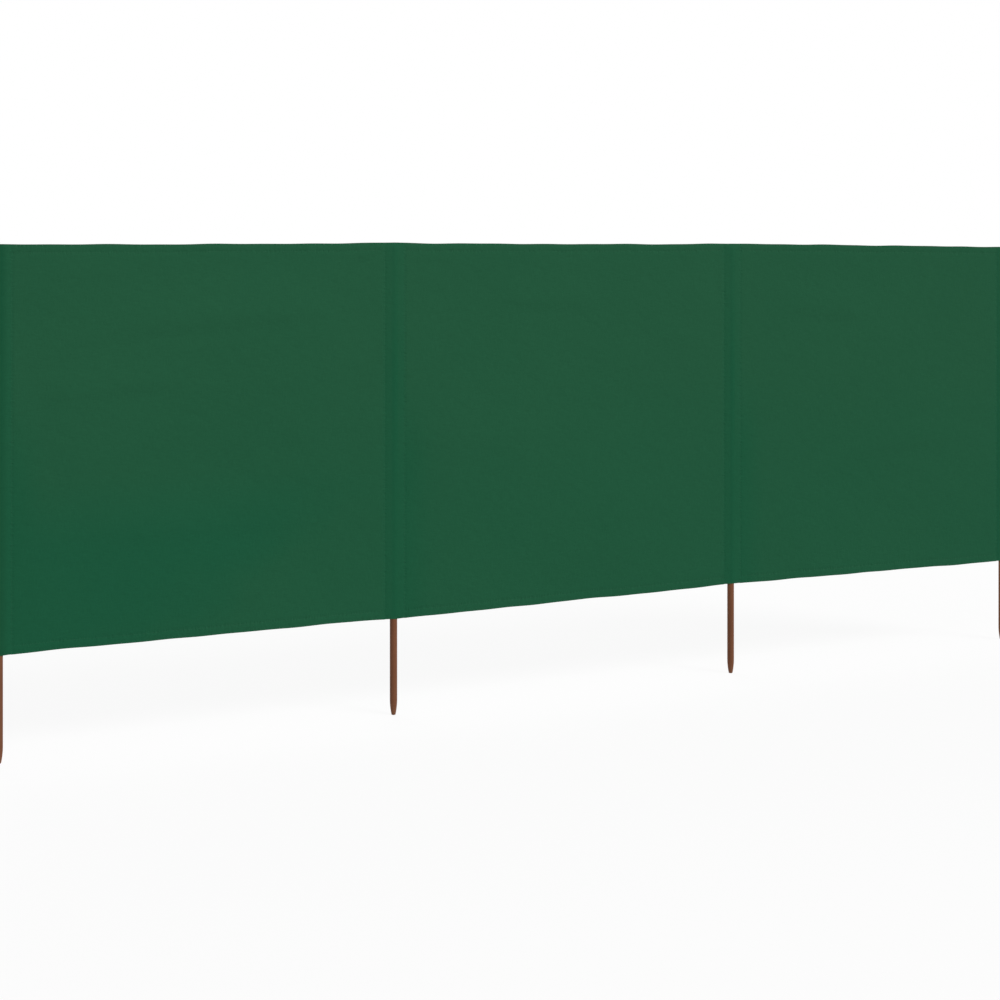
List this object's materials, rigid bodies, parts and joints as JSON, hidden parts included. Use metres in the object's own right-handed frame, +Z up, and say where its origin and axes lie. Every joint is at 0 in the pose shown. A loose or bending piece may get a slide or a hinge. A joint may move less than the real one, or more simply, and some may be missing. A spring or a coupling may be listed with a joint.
{
  "type": "beach windbreak",
  "caption": "Straight beach windbreak: plain dark green cloth carried in sewn sleeves on round brown wooden poles with blunt tapered feet, pushed into the sand.",
  "frame": {"origin": "centre of the blunt foot of the left end pole, on the foot's flat end", "axes": "+X along the row towards the other poles, -Y towards the front of the cloth, +Z up the poles"},
  "size_m": [4.0276, 0.0276, 1.6],
  "materials": {
    "stained_wood": "brown stain, satin",
    "green_cloth": "dark green plain weave, matt"
  },
  "bodies": {
    "root": {"pole_1": "stained_wood", "pole_2": "stained_wood", "pole_3": "stained_wood", "pole_4": "stained_wood", "sleeve_1": "green_cloth", "sleeve_2": "green_cloth", "sleeve_3": "green_cloth", "sleeve_4": "green_cloth", "sleeve_cap_1": "green_cloth", "sleeve_cap_2": "green_cloth", "sleeve_cap_3": "green_cloth", "sleeve_cap_4": "green_cloth", "panel_1": "green_cloth", "panel_2": "green_cloth", "panel_3": "green_cloth", "top_hem_1": "green_cloth", "top_hem_2": "green_cloth", "top_hem_3": "green_cloth", "bottom_hem_1": "green_cloth", "bottom_hem_2": "green_cloth", "bottom_hem_3": "green_cloth"}
  },
  "joints": []
}
